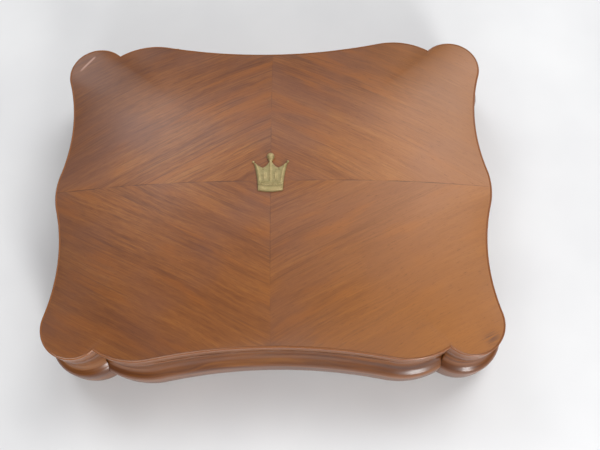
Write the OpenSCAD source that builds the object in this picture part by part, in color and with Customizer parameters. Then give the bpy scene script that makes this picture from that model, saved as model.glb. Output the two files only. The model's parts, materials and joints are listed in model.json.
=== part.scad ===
// Puzzle box with a serpentine outline, a domed veneered lid and a crown ornament.
// Origin at the middle of the box on the table; front towards -Y, lid hinges towards +Y.

/* [Overall] */
// Width of the lid across its two side bulges
box_w = 300; // [250:1:360]
// Depth of the lid across its front and back bumps
box_d = 233.6; // [195:0.1:281]
// Height of the joint between the body and the lid
joint_h = 54; // [48:0.5:66]
// Height of the straight edge of the lid
lid_edge_h = 10.3; // [8.5:0.1:14]
// Rise of the domed top above the rim of the lid
dome_rise = 16.6; // [8:0.1:22]
// Exponent of the dome, larger for a flatter middle
dome_power = 2.5; // [2:0.1:3.5]

/* [Outline] */
// Radius of the round corner lobes
lobe_r = 21.5; // [18:0.1:26]
// Distance from the side of the box to the centre of a lobe
lobe_in_x = 21.8; // [20:0.1:26]
// Distance from the front bumps to the centre of a lobe
lobe_in_y = 23.5; // [21:0.1:28]
// Radius of the bulge in the middle of each side
side_r = 48.4; // [40:0.1:60]
// Radius of the hollow between a lobe and the side bulge
waist_r = 129.6; // [100:0.1:160]
// Distance from the side of the box to the centre of a bump
bump_in_x = 62.8; // [60:0.1:66]
// Radius of the bumps on the front and the back
bump_r = 49.3; // [44:0.1:54]
// Depth of the hollow between the two bumps
dip = 8.6; // [6:0.1:10]

/* [Body] */
// Thickness of the felt under the base
felt_t = 0.5; // [0.4:0.1:1]
// Thickness of the base board
base_t = 6.3; // [5:0.1:8]
// Thickness of the front and back walls at the bumps
wall_y = 20.8; // [19:0.1:24]
// Thickness of the side walls at the bulge
wall_x = 20; // [18:0.1:26]
// Thickness of the floor of the compartment
floor_t = 3; // [2.5:0.1:5]
// Thickness of the padded linings
lining_t = 1.5; // [1:0.1:2.5]
// Thickness of the shaped facings on the outside of the walls
facing_t = 4; // [3:0.1:5]
// Depth of the shallow hollow down the facings
cove = 1.6; // [0:0.1:2.2]
// Height of the straight rail above the facings
rail_h = 4; // [3:0.1:6]

/* [Base moulding] */
// Height of the top of the base moulding
moulding_h = 28; // [24:0.5:30]
// How far the moulding stands out from the walls
moulding_out = 6; // [4:0.1:8]
// How far the top edge of the moulding stands out
moulding_lip = 1; // [0.8:0.1:2]
// Radius of the pegs that hold the front moulding
peg_r = 3; // [2:0.1:4]

/* [Secret drawer] */
// Distance from the corners of the outline to the sides of the drawer
drawer_inset = 36.2; // [34:0.1:54]
// Height of the drawer
drawer_h = 14.4; // [12:0.1:17]
// Length of the drawer inside the back wall
drawer_len = 112; // [80:1:115]

/* [Lid] */
// Thickness of the face veneer
veneer_t = 0.9; // [0.6:0.1:1.5]
// Width of the lipping round the edge of the lid
lipping_w = 4; // [3:0.1:6]

/* [Hinges] */
// Length of a hinge
hinge_w = 30; // [28:1:40]
// Thickness of a hinge leaf
leaf_t = 1.5; // [1.2:0.1:1.8]
// Radius of the hinge knuckles
knuckle_r = 2; // [1.9:0.1:2.6]
// Radius of a hinge pin
pin_r = 1.1; // [0.9:0.05:1.3]

/* [Clearances] */
// Gap between the body and the closed lid
lid_gap = 0.2; // [0.1:0.05:0.4]
// Gap round a sliding wooden piece
slide_gap = 0.15; // [0.1:0.05:0.3]
// Radial clearance of a hinge pin
pin_gap = 0.05; // [0.03:0.01:0.1]
// Radial clearance of the pegs of the front moulding
peg_gap = 0.05; // [0.03:0.01:0.1]
// Clearance round a fixed metal piece
fit_gap = 0.05; // [0.03:0.01:0.1]

/* [Hidden] */
$fn = 64;
far = 400;

// ---- Heights
wall_z = felt_t + base_t;
drawer_z = wall_z + 0.1;
drawer_top = drawer_z + drawer_h;
floor_z = drawer_top + 0.3;
lining_z = floor_z + floor_t;
inside_z = lining_z + lining_t;
lid_z = joint_h + lid_gap;
rim_z = lid_z + lid_edge_h;
frame_top = rim_z - veneer_t - 1.6;

// ---- Outline: arcs that run into each other, one quarter from the side to the back
lobe_c = [box_w / 2 - lobe_in_x, box_d / 2 - lobe_in_y];
side_c = [box_w / 2 - side_r, 0];
bump_c = [box_w / 2 - bump_in_x, box_d / 2 - bump_r];
dip_drop = bump_r - dip;
dip_r = (bump_c[0] * bump_c[0] + dip_drop * dip_drop - bump_r * bump_r)
  / (2 * (bump_r - dip_drop));
dip_c = [0, bump_c[1] + dip_drop + dip_r];
waist_c = meet(lobe_c, lobe_r + waist_r, side_c, side_r + waist_r, 1);
side_end = heading(waist_c - side_c);
lobe_start = heading(waist_c - lobe_c);
bump_end = heading(dip_c - bump_c);
side_steps = 2;
waist_steps = 3;
lobe_steps = 12;
cusp_at = side_steps + waist_steps + lobe_steps;

// Direction of a vector in degrees
function heading(v) = atan2(v[1], v[0]);

// Point where two circles cross, on the side given by s
function meet(p, rp, q, rq, s) =
  let (d = norm(q - p), a = (rp * rp - rq * rq + d * d) / (2 * d))
  let (h = sqrt(rp * rp - a * a), u = (q - p) / d)
  p + a * u + s * h * [-u[1], u[0]];

// Points on an arc, leaving out the first one if skip is 1
function arc(c, r, a0, a1, n, skip = 1) =
  [for (i = [skip:n]) c + r * [cos(a0 + (a1 - a0) * i / n), sin(a0 + (a1 - a0) * i / n)]];

// Cusp between a lobe and a bump, for an outline grown by d
function cusp(d) = meet(lobe_c, lobe_r + d, bump_c, bump_r + d, -1);

// Bump and half of the hollow up to the middle, from the cusp or from the place x across
function bump_run(d, skip, x = undef) = concat(
  arc(bump_c, bump_r + d, is_undef(x) ? heading(cusp(d) - bump_c)
    : acos((x - bump_c[0]) / (bump_r + d)), 90, 5, skip),
  arc(bump_c, bump_r + d, 90, bump_end, 2),
  arc(dip_c, dip_r - d, bump_end + 180, 270, 3));

// Side bulge, waist and lobe up to the cusp or to the place x across
function side_run(d, x = undef) = concat(
  arc(side_c, side_r + d, 0, side_end, side_steps, 0),
  arc(waist_c, waist_r - d, side_end + 180, lobe_start + 180, waist_steps),
  arc(lobe_c, lobe_r + d, lobe_start, is_undef(x) ? heading(cusp(d) - lobe_c)
    : acos((x - lobe_c[0]) / (lobe_r + d)), lobe_steps));

function quarter(d) = concat(side_run(d), bump_run(d, 1));

// Whole outline grown by d
function outline(d) =
  let (q = quarter(d), n = len(q) - 1)
  concat(
    [for (i = [0:n - 1]) q[i]],
    [for (i = [n:-1:1]) [-q[i][0], q[i][1]]],
    [for (i = [0:n - 1]) -q[i]],
    [for (i = [n:-1:1]) [q[i][0], -q[i][1]]]);

// Right side from the front to the back, its ends at the cusps or at the place x across
function side_path(d, x = undef) =
  let (q = side_run(d, x), n = len(q) - 1)
  concat([for (i = [n:-1:1]) [q[i][0], -q[i][1]]], q);

// Back from the right to the left, its ends at the cusps or at the place x across
function back_path(d, x = undef) =
  let (q = bump_run(d, 0, x), n = len(q) - 1)
  concat(q, [for (i = [n - 1:-1:0]) [-q[i][0], q[i][1]]]);

// ---- Plan of the body
in_x = box_w / 2 - wall_x;
in_y = box_d / 2 - wall_y;
cusp_x = cusp(-facing_t)[0];
rail_z = joint_h - rail_h;
lining_x = in_x - lining_t;
lining_y = in_y - lining_t;
window_x = in_x - 12;
window_y = in_y - 8;

// ---- Base moulding: how far it stands out at the share u of its height
function bulge(u) = moulding_lip + (moulding_out - moulding_lip)
  * (u > 0.36 ? sqrt(1 - pow((u - 0.36) / 0.64, 3)) : 1 - 0.45 * pow((0.36 - u) / 0.36, 2));
function moulding_profile(back, top) = concat(
  [for (i = [0:8]) let (u = sin(90 * i / 8)) [bulge(u), felt_t + (top - felt_t) * u]],
  [[back, top], [back, felt_t]]);
end_gap = 0.3;
seam_x = cusp(moulding_out)[0];

// ---- Wall facing: a shallow hollow between the rail and the moulding, u runs downwards
function hollow(u) = moulding_lip * u * u - cove * pow(sin(180 * u), 1.5);
facing_profile = concat(
  [for (i = [6:-1:0]) [hollow(i / 6), rail_z - (rail_z - moulding_h) * i / 6]],
  [[-facing_t, rail_z], [-facing_t, moulding_h]]);

// ---- Dome of the lid: rows of [grown by, share of the way out from the middle]
dome_rows = [[0, 1], [-lipping_w, 1], [-lipping_w, 0.93], [-lipping_w, 0.8],
  [-lipping_w, 0.6], [-lipping_w, 0.25]];
oval_x = box_w / 2 - lipping_w - 1.5;
oval_y = box_d / 2 - lipping_w - 3;
function dome_height(t) = dome_rise * (1 - pow(t, dome_power));

// Radius of an oval in the direction a, rounder towards the middle
function oval(a, t) = let (n = 2 + 3 * t)
  pow(pow(abs(cos(a)) / oval_x, n) + pow(abs(sin(a)) / oval_y, n), -1 / n);

// The rows keep the outline at the rim and turn into ovals towards the middle
function dome_row(row, pts) = let (t = row[1], w = pow(t, 14))
  [for (p = pts) t * (w + (1 - w) * oval(heading(p), t) / norm(p)) * p];

// ---- Secret drawer
drawer_half_w = cusp_x - drawer_inset;
drawer_y0 = in_y - drawer_len;
drawer_side = 4;
drawer_floor_t = 2;
drawer_in = drawer_half_w - drawer_side;
key_y = in_y - 10;
key_z = drawer_z + drawer_floor_t + 1.2;

// ---- Pegs that hold the front moulding
peg_x = bump_c[0];
peg_z = wall_z + 7;
peg_in = 11;
peg_back = 0.18;

// ---- Hinges
hinge_x = bump_c[0];
pin_y = box_d / 2 + knuckle_r + 0.2;
pin_z = joint_h + lid_gap / 2;
leaf_in = 12.8;
knuckle_gap = 0.2;
knuckle_w = hinge_w / 5;
leaf_hole_r = 1.35;

// ---- Lock
lock_y = -in_y - 3.2;
lock_half = 22;
lock_z = wall_z + 0.7;
sel_t = 1.6;
sel_half = 30;
sel_screw_x = 26.5;
staple_x = 12;
staple_top = joint_h - 4;
bolt_z = staple_top - 3.6;
keyhole_z = felt_t + 13.5;
keyhole_y = -box_d / 2 + dip + facing_t;
plate_t = 1;
sel_w = 6.2;
plate_r = 6.5;

// ---- Wood screws
module screw(length, r, head_r) {
  head_h = head_r - r;
  difference() {
    union() {
      translate([0, 0, -head_h]) cylinder(h = head_h, r1 = r, r2 = head_r);
      translate([0, 0, -length]) cylinder(h = length, r = r);
    }
    translate([-head_r, -0.35, -0.5]) cube([2 * head_r, 0.7, 1]);
  }
}

module screw_space(length, r, head_r) {
  head_h = head_r - r;
  translate([0, 0, -head_h]) cylinder(h = head_h, r1 = r + fit_gap, r2 = head_r + fit_gap);
  translate([0, 0, -length - 0.5]) cylinder(h = length + 1, r = r + fit_gap);
}

module outline_2d(d) {
  polygon(outline(d));
}

// ---- Base
module base_felt() {
  color("DarkOliveGreen") linear_extrude(felt_t) outline_2d(-facing_t - 2);
}

module at_base_screws() {
  for (x = [-1, 1], y = [-1, 1]) {
    translate([x * (cusp_x - 15), y * (in_y + 8), felt_t]) rotate([180, 0, 0]) children();
    translate([x * (in_x + 4.5), y * side_r / 2, felt_t]) rotate([180, 0, 0]) children();
  }
}

module base_board() {
  color("SaddleBrown") difference() {
    translate([0, 0, felt_t]) linear_extrude(base_t) outline_2d(-facing_t);
    at_base_screws() screw_space(16, 1.6, 3.2);
  }
}

module base_screws() {
  color("DimGray") at_base_screws() screw(16, 1.6, 3.2);
}

// ---- Walls: a plain core and a rail as wide as the lid, as [grown by, bottom, height]
wall_parts = [[-facing_t, wall_z, rail_z - wall_z], [0, rail_z, rail_h]];

module front_wall() {
  color("Sienna") difference() {
    for (part = wall_parts) translate([0, 0, part[1]]) linear_extrude(part[2]) intersection() {
      outline_2d(part[0]);
      translate([-cusp_x, -far]) square([2 * cusp_x, far - in_y]);
    }
    at_base_screws() screw_space(16, 1.6, 3.2);
    peg_holes();
    lock_pocket();
  }
}

module peg_holes() {
  for (s = [-1, 1]) translate([s * peg_x, -box_d / 2 + facing_t + peg_in + 0.5, peg_z])
    rotate([90, 0, 0]) cylinder(h = 30, r = peg_r + peg_gap);
}

module lock_pocket() {
  g = fit_gap;
  translate([-lock_half - g, lock_y - 3 - g, lock_z - g])
    cube([2 * lock_half + 2 * g, far, joint_h - sel_t - lock_z + 2 * g]);
  translate([-sel_half - g, lock_y - sel_w / 2 - g, joint_h - sel_t - g])
    cube([2 * sel_half + 2 * g, sel_w + 2 * g, sel_t + 1]);
  at_selvedge_screws() screw_space(9, 1, 2);
  keyhole_space(1.9, 20);
  translate([0, keyhole_y + plate_t + 0.2, keyhole_z]) rotate([90, 0, 0])
    cylinder(h = 10, r = plate_r + g);
  at_keyhole_pins() cylinder(h = 1.9, r = 0.5 + g);
}

module back_wall() {
  color("Sienna") difference() {
    for (part = wall_parts) translate([0, 0, part[1]]) linear_extrude(part[2]) intersection() {
      outline_2d(part[0]);
      translate([-cusp_x, in_y]) square([2 * cusp_x, far]);
    }
    at_base_screws() screw_space(16, 1.6, 3.2);
    translate([-drawer_half_w - 2 * slide_gap, 0, wall_z - 1])
      cube([2 * drawer_half_w + 4 * slide_gap, far, floor_z - wall_z + 1]);
    at_hinges() {
      translate([-hinge_w / 2 - fit_gap, -knuckle_r - 0.2 - leaf_in, -leaf_t - 0.1 - fit_gap])
        cube([hinge_w + 2 * fit_gap, far, far]);
      at_leaf_screws() translate([0, 0, -0.1]) screw_space(9, 1, 2);
    }
  }
}

module right_wall() {
  color("Sienna") side_wall_right();
}

module left_wall() {
  color("Sienna") rotate([0, 0, 180]) side_wall_right();
}

// The side wall keeps what lies beyond the compartment and beyond the two cusps
module side_wall_right() {
  difference() {
    for (part = wall_parts) translate([0, 0, part[1]]) linear_extrude(part[2]) difference() {
      outline_2d(part[0]);
      translate([-far, -in_y]) square([far + in_x, 2 * in_y]);
      translate([-far, in_y - 1]) square([far + cusp_x, far]);
      translate([-far, -far]) square([far + cusp_x, far - in_y + 1]);
    }
    at_base_screws() screw_space(16, 1.6, 3.2);
  }
}

// ---- Base mouldings
// Band between two cusps: one path per profile point, closed by a cap at each end
module moulded_band(profile, paths) {
  m = len(profile);
  n = len(paths[0]);
  polyhedron(
    points = [for (j = [0:m - 1], p = paths[j]) [p[0], p[1], profile[j][1]]],
    faces = concat(
      [for (j = [0:m - 1], i = [0:n - 2]) let (k = (j + 1) % m)
        [j * n + i, k * n + i, k * n + i + 1]],
      [for (j = [0:m - 1], i = [0:n - 2]) let (k = (j + 1) % m)
        [j * n + i, k * n + i + 1, j * n + i + 1]],
      [for (j = [1:m - 2]) [(m - 1) * n, j * n, (j - 1) * n]],
      [for (j = [1:m - 2]) [(m - 1) * n + n - 1, (j - 1) * n + n - 1, j * n + n - 1]]));
}

module side_moulding() {
  profile = moulding_profile(-facing_t, moulding_h);
  moulded_band(profile, [for (p = profile)
    p[0] < 0 ? side_path(p[0]) : side_path(p[0], seam_x + end_gap / 2)]);
}

module right_moulding() {
  color("Peru") side_moulding();
}

module left_moulding() {
  color("Peru") rotate([0, 0, 180]) side_moulding();
}

module loose_moulding() {
  profile = moulding_profile(slide_gap - facing_t, moulding_h - slide_gap);
  moulded_band(profile, [for (p = profile) back_path(p[0], seam_x - end_gap / 2)]);
}

module front_facing() {
  color("Chocolate") rotate([0, 0, 180]) end_facing();
}

module back_facing() {
  color("Chocolate") end_facing();
}

module end_facing() {
  moulded_band(facing_profile, [for (p = facing_profile) back_path(p[0])]);
}

module right_facing() {
  color("Chocolate") moulded_band(facing_profile, [for (p = facing_profile) side_path(p[0])]);
}

module left_facing() {
  color("Chocolate") rotate([0, 0, 180])
    moulded_band(facing_profile, [for (p = facing_profile) side_path(p[0])]);
}

module back_moulding() {
  color("Peru") loose_moulding();
}

module front_moulding() {
  color("Peru") rotate([0, 0, 180]) loose_moulding();
}

// Pegs glued to the back of the front moulding
module moulding_pegs() {
  color("Tan") for (s = [-1, 1])
    translate([s * peg_x, -box_d / 2 + facing_t - slide_gap + peg_back, peg_z])
      rotate([-90, 0, 0]) cylinder(h = peg_in, r = peg_r);
}

// ---- Compartment
module drawer_guides() {
  guide_w = 8;
  color("BurlyWood") for (s = [-1, 1])
    translate([s * (drawer_half_w + 2 * slide_gap + guide_w / 2), 0, wall_z])
      translate([-guide_w / 2, drawer_y0 - 6, 0])
        cube([guide_w, in_y - drawer_y0 + 6, floor_z - wall_z]);
}

module floor_cleats() {
  color("BurlyWood") {
    for (s = [-1, 1]) translate([s * (in_x - 3) - 3, -in_y, floor_z - 8])
      cube([6, 2 * in_y, 8]);
    translate([-in_x + 6, -in_y, floor_z - 8]) cube([2 * in_x - 12, 6, 8]);
  }
}

module compartment_floor() {
  color("BurlyWood") translate([-in_x, -in_y, floor_z]) cube([2 * in_x, 2 * in_y, floor_t]);
}

module lining_floor() {
  color("DarkOliveGreen") translate([-in_x, -in_y, lining_z])
    cube([2 * in_x, 2 * in_y, lining_t]);
}

module lining_front() {
  color("DarkOliveGreen") translate([-in_x, -in_y, inside_z])
    cube([2 * in_x, lining_t, joint_h - 2 - inside_z]);
}

module lining_back() {
  color("DarkOliveGreen") translate([-in_x, lining_y, inside_z])
    cube([2 * in_x, lining_t, joint_h - 2 - inside_z]);
}

module lining_left() {
  color("DarkOliveGreen") translate([-in_x, -lining_y, inside_z])
    cube([lining_t, 2 * lining_y, joint_h - 2 - inside_z]);
}

module lining_right() {
  color("DarkOliveGreen") translate([lining_x, -lining_y, inside_z])
    cube([lining_t, 2 * lining_y, joint_h - 2 - inside_z]);
}

// ---- Secret drawer behind the back moulding
module drawer_front() {
  color("Tan") translate([0, 0, drawer_z]) linear_extrude(drawer_h) intersection() {
    outline_2d(slide_gap - facing_t);
    translate([-drawer_half_w, in_y + 4]) square([2 * drawer_half_w, far]);
  }
}

module drawer_bottom() {
  color("Tan") translate([-drawer_half_w, drawer_y0, drawer_z])
    cube([2 * drawer_half_w, drawer_len + 4, drawer_floor_t]);
}

module drawer_left_side() {
  color("Tan") translate([-drawer_half_w, drawer_y0, drawer_z + drawer_floor_t])
    cube([drawer_side, drawer_len + 4, drawer_h - drawer_floor_t]);
}

module drawer_right_side() {
  color("Tan") translate([drawer_in, drawer_y0, drawer_z + drawer_floor_t])
    cube([drawer_side, drawer_len + 4, drawer_h - drawer_floor_t]);
}

module drawer_end() {
  color("Tan") translate([-drawer_in, drawer_y0, drawer_z + drawer_floor_t])
    cube([2 * drawer_in, drawer_side, drawer_h - drawer_floor_t]);
}

module drawer_lining() {
  color("DarkOliveGreen")
    translate([-drawer_in, drawer_y0 + drawer_side, drawer_z + drawer_floor_t])
      cube([2 * drawer_in, drawer_len - drawer_side + 4, key_z - drawer_z - drawer_floor_t]);
}

// Barrel key that lies flat on the drawer lining
module key() {
  barrel_r = 1.6;
  collar_r = 2.1;
  color("Goldenrod") translate([-18, key_y, key_z + collar_r]) {
    rotate([0, 90, 0]) difference() {
      cylinder(h = 34, r = barrel_r);
      translate([0, 0, 26]) cylinder(h = 9, r = 1);
    }
    for (x = [3, 24]) translate([x, 0, 0]) rotate([0, 90, 0])
      cylinder(h = 1.2, r = collar_r);
    translate([-5.6, 0, -0.8]) linear_extrude(1.6) difference() {
      circle(r = 6.4);
      circle(r = 3.6);
    }
    translate([27.5, -6.5, -0.5]) difference() {
      cube([5, 5.6, 1]);
      translate([2, -1, -1]) cube([1, 3.4, 3]);
    }
  }
}

// ---- Lid
module lid_window_2d() {
  square([2 * window_x, 2 * window_y], center = true);
}

module lid_frame() {
  color("Sienna") difference() {
    translate([0, 0, lid_z]) linear_extrude(frame_top - lid_z) difference() {
      outline_2d(-lipping_w);
      lid_window_2d();
    }
    lid_pockets();
  }
}

module lid_pockets() {
  g = fit_gap;
  translate([-sel_half - g, lock_y - sel_w / 2 - g, lid_z - 1])
    cube([2 * sel_half + 2 * g, sel_w + 2 * g, sel_t + 1 + g]);
  at_plate_screws() screw_space(6, 1, 2);
  at_hinges() {
    translate([-hinge_w / 2 - g, -knuckle_r - 0.2 - leaf_in, -1])
      cube([hinge_w + 2 * g, far, leaf_t + 1.1 + g]);
    at_leaf_screws() rotate([180, 0, 0]) translate([0, 0, -0.1]) screw_space(6, 1, 2);
  }
}

// The whole lipping, cut into four at the cusps
module lipping_2d() {
  difference() {
    outline_2d(0);
    outline_2d(-lipping_w);
  }
}

module lid_lipping_back() {
  color("Chocolate") difference() {
    translate([0, 0, lid_z]) linear_extrude(rim_z - veneer_t - lid_z) intersection() {
      lipping_2d();
      translate([-cusp_x, 0]) square([2 * cusp_x, far]);
    }
    lid_pockets();
  }
}

module lid_lipping_front() {
  color("Chocolate") translate([0, 0, lid_z]) linear_extrude(rim_z - veneer_t - lid_z)
    intersection() {
      lipping_2d();
      translate([-cusp_x, -far]) square([2 * cusp_x, far]);
    }
}

module lid_lipping_right() {
  color("Chocolate") translate([0, 0, lid_z]) linear_extrude(rim_z - veneer_t - lid_z)
    intersection() {
      lipping_2d();
      translate([cusp_x, -far]) square([far, 2 * far]);
    }
}

module lid_lipping_left() {
  color("Chocolate") translate([0, 0, lid_z]) linear_extrude(rim_z - veneer_t - lid_z)
    intersection() {
      lipping_2d();
      translate([-cusp_x - far, -far]) square([far, 2 * far]);
    }
}

// The quarters are mirror images, so every other one has its diagonals the other way
function leans_back(i, n) = floor(4 * i / n) % 2 == 1;

// Solid dome under the veneer, on the flat top of the frame
module lid_dome() {
  rows = [for (i = [1:len(dome_rows) - 1]) dome_rows[i]];
  m = len(rows);
  base = outline(-lipping_w);
  n = len(base);
  top = rim_z - veneer_t;
  color("BurlyWood") polyhedron(
    points = concat(
      [for (p = base) [p[0], p[1], frame_top]],
      [for (k = [0:m - 1], p = dome_row(rows[k], outline(rows[k][0])))
        [p[0], p[1], top + dome_height(rows[k][1])]],
      [[0, 0, frame_top], [0, 0, top + dome_height(rows[m - 1][1])]]),
    faces = concat(
      [for (i = [0:n - 1]) [(m + 1) * n, i, (i + 1) % n]],
      [for (k = [0:m - 1], i = [0:n - 1])
        [k * n + i, (k + 1) * n + i, leans_back(i, n) ? k * n + (i + 1) % n
          : (k + 1) * n + (i + 1) % n]],
      [for (k = [0:m - 1], i = [0:n - 1])
        [leans_back(i, n) ? (k + 1) * n + i : k * n + i, (k + 1) * n + (i + 1) % n,
          k * n + (i + 1) % n]],
      [for (i = [0:n - 1]) [m * n + i, (m + 1) * n + 1, m * n + (i + 1) % n]]));
}

// One quarter of the veneer, for positive X and Y
module veneer_quarter() {
  m = len(dome_rows);
  n = len(quarter(0));
  half = m * n + 1;
  polyhedron(
    points = [for (drop = [0, veneer_t], k = [0:m]) each
      k < m
        ? [for (p = dome_row(dome_rows[k], quarter(dome_rows[k][0])))
            [p[0], p[1], rim_z - drop + dome_height(dome_rows[k][1])]]
        : [[0, 0, rim_z - drop + dome_height(dome_rows[m - 1][1])]]],
    faces = concat(
      [for (k = [0:m - 2], i = [0:n - 2])
        [k * n + i, (k + 1) * n + i, (k + 1) * n + i + 1]],
      [for (k = [0:m - 2], i = [0:n - 2])
        [k * n + i, (k + 1) * n + i + 1, k * n + i + 1]],
      [for (i = [0:n - 2]) [(m - 1) * n + i, m * n, (m - 1) * n + i + 1]],
      [for (k = [0:m - 2], i = [0:n - 2])
        [half + k * n + i, half + (k + 1) * n + i + 1, half + (k + 1) * n + i]],
      [for (k = [0:m - 2], i = [0:n - 2])
        [half + k * n + i, half + k * n + i + 1, half + (k + 1) * n + i + 1]],
      [for (i = [0:n - 2])
        [half + (m - 1) * n + i, half + (m - 1) * n + i + 1, half + m * n]],
      [for (i = [0:n - 2]) [i, i + 1, half + i + 1]],
      [for (i = [0:n - 2]) [i, half + i + 1, half + i]],
      [for (k = [0:m - 2]) [k * n, half + k * n, half + (k + 1) * n, (k + 1) * n]],
      [[(m - 1) * n, half + (m - 1) * n, half + m * n, m * n]],
      [for (k = [0:m - 2]) [k * n + n - 1, (k + 1) * n + n - 1,
        half + (k + 1) * n + n - 1, half + k * n + n - 1]],
      [[(m - 1) * n + n - 1, m * n, half + m * n, half + (m - 1) * n + n - 1]]));
}

module veneer_back_right() {
  color("Peru") veneer_quarter();
}

module veneer_back_left() {
  color("Peru") mirror([1, 0, 0]) veneer_quarter();
}

module veneer_front_left() {
  color("Peru") rotate([0, 0, 180]) veneer_quarter();
}

module veneer_front_right() {
  color("Peru") mirror([0, 1, 0]) veneer_quarter();
}

module lid_lining() {
  color("DarkOliveGreen") translate([-window_x + 0.5, -window_y + 0.5, frame_top - lining_t])
    cube([2 * window_x - 1, 2 * window_y - 1, lining_t]);
}

// ---- Hinges at the two back bumps
module at_hinges() {
  for (s = [-1, 1]) translate([s * hinge_x, pin_y, pin_z]) children();
}

module at_leaf_screws() {
  for (x = [-11, 0, 11]) translate([x, -knuckle_r - 0.2 - leaf_in / 2, 0]) children();
}

// One leaf below the pin, its knuckles in the places listed
module leaf(own, other) {
  difference() {
    union() {
      translate([-hinge_w / 2, -knuckle_r - 0.2 - leaf_in, -leaf_t - lid_gap / 2])
        cube([hinge_w, leaf_in + knuckle_r + 0.2, leaf_t]);
      for (k = own) knuckle(k, knuckle_r, -knuckle_gap / 2);
    }
    for (k = other) knuckle(k, knuckle_r + 0.25, knuckle_gap / 2);
    rotate([0, 90, 0]) cylinder(h = hinge_w + 2, r = pin_r + pin_gap, center = true);
    at_leaf_screws() translate([0, 0, -lid_gap / 2]) screw_space(9, 1, 2);
  }
}

module knuckle(k, r, grow) {
  translate([-hinge_w / 2 + k * knuckle_w - grow, 0, 0]) rotate([0, 90, 0])
    cylinder(h = knuckle_w + 2 * grow, r = r);
}

module hinge_body_leaves() {
  color("Gold") at_hinges() leaf([0, 2, 4], [1, 3]);
}

module hinge_lid_leaves() {
  color("Gold") at_hinges() mirror([0, 0, 1]) leaf([1, 3], [0, 2, 4]);
}

module hinge_pins() {
  color("Gold") at_hinges() rotate([0, 90, 0]) cylinder(h = hinge_w, r = pin_r, center = true);
}

module hinge_body_screws() {
  color("Gold") at_hinges() at_leaf_screws()
    translate([0, 0, -lid_gap / 2]) screw(9, 1, 2);
}

module hinge_lid_screws() {
  color("Gold") at_hinges() at_leaf_screws()
    rotate([180, 0, 0]) translate([0, 0, -lid_gap / 2]) screw(6, 1, 2);
}

// ---- Lock in the front wall
module at_selvedge_screws() {
  for (s = [-1, 1]) translate([s * sel_screw_x, lock_y, joint_h]) children();
}

module at_plate_screws() {
  for (s = [-1, 1]) translate([s * sel_screw_x, lock_y, lid_z]) rotate([180, 0, 0]) children();
}

module lock_case() {
  color("Gold") difference() {
    translate([-lock_half, lock_y - 3, lock_z])
      cube([2 * lock_half, 6, joint_h - sel_t - lock_z]);
    translate([-lock_half + 1, lock_y - 2, lock_z + 1])
      cube([2 * lock_half - 2, 4, far]);
    keyhole_space(1.9, 10);
  }
}

module lock_selvedge() {
  color("Gold") difference() {
    translate([-sel_half, lock_y - sel_w / 2, joint_h - sel_t])
      cube([2 * sel_half, sel_w, sel_t]);
    for (s = [-1, 1]) translate([s * staple_x - 1.4, lock_y - 2, joint_h - sel_t - 1])
      cube([2.8, 4, sel_t + 2]);
    at_selvedge_screws() screw_space(9, 1, 2);
  }
}

module lock_selvedge_screws() {
  color("Gold") at_selvedge_screws() screw(9, 1, 2);
}

// Sliding bolt: a bar with two fingers that enter the staples of the lid plate
module lock_bolt() {
  color("Silver") {
    translate([-20.6, lock_y - 0.5, bolt_z - 6.8]) cube([26.4, 1, 4.5]);
    for (s = [-1, 1]) translate([s * staple_x, lock_y - 0.5, 0]) {
      translate([-8.6, 0, bolt_z - 2.4]) cube([2.4, 1, 5.6]);
      translate([-8.6, 0, bolt_z]) cube([7.2, 1, 3.2]);
    }
  }
}

module lock_plate() {
  color("Gold") difference() {
    union() {
      translate([-sel_half, lock_y - sel_w / 2, lid_z]) cube([2 * sel_half, sel_w, sel_t]);
      for (s = [-1, 1]) translate([s * staple_x - 0.8, lock_y - 1.4, bolt_z - 1.6])
        cube([1.6, 2.8, lid_z - bolt_z + 2]);
    }
    for (s = [-1, 1]) translate([s * staple_x - 2, lock_y - 0.7, bolt_z - 0.4])
      cube([4, 1.4, 4]);
    at_plate_screws() screw_space(6, 1, 2);
  }
}

module lock_plate_screws() {
  color("Gold") at_plate_screws() screw(6, 1, 2);
}

// Round hole with a slot below it, cut along Y
module keyhole_space(r, depth) {
  translate([0, lock_y + 1, keyhole_z]) rotate([90, 0, 0]) linear_extrude(depth) {
    circle(r = r);
    translate([-0.7, -5.2]) square([1.4, 5.2]);
  }
}

module keyhole_plate() {
  color("Gold") difference() {
    translate([0, keyhole_y + plate_t + 0.2, keyhole_z]) rotate([90, 0, 0])
      cylinder(h = plate_t, r = plate_r);
    keyhole_space(1.9, 20);
    at_keyhole_pins() cylinder(h = 8, r = 0.5 + fit_gap, center = true);
  }
}

module at_keyhole_pins() {
  for (s = [-1, 1]) translate([s * 4.6, keyhole_y + 0.2, keyhole_z])
    rotate([-90, 0, 0]) children();
}

module keyhole_pins() {
  color("Gold") at_keyhole_pins() cylinder(h = 1.7, r = 0.5);
}

// ---- Crown ornament on the middle of the lid, its points towards the back
crown_w = 11.8;
crown_z = rim_z + dome_height(dome_rows[len(dome_rows) - 1][1]);

// Points on a curve from a to c that bends towards b
function bend(a, b, c, n) = [for (i = [0:n - 1]) let (t = i / n)
  (1 - t) * (1 - t) * a + 2 * t * (1 - t) * b + t * t * c];

function crown_side() = concat(
  bend([0, -8], [5, -8], [8.4, -7], 3),
  bend([8.4, -7], [8.8, 3], [crown_w, 13.3], 5),
  bend([crown_w, 13.3], [7.4, 10.6], [5.3, 9.2], 4),
  bend([5.3, 9.2], [2.2, 10.8], [1, 15.5], 4));

module crown_2d() {
  side = crown_side();
  polygon(concat(side, [[1, 15.5]],
    [for (i = [len(side) - 1:-1:1]) [-side[i][0], side[i][1]]]));
}

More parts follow.
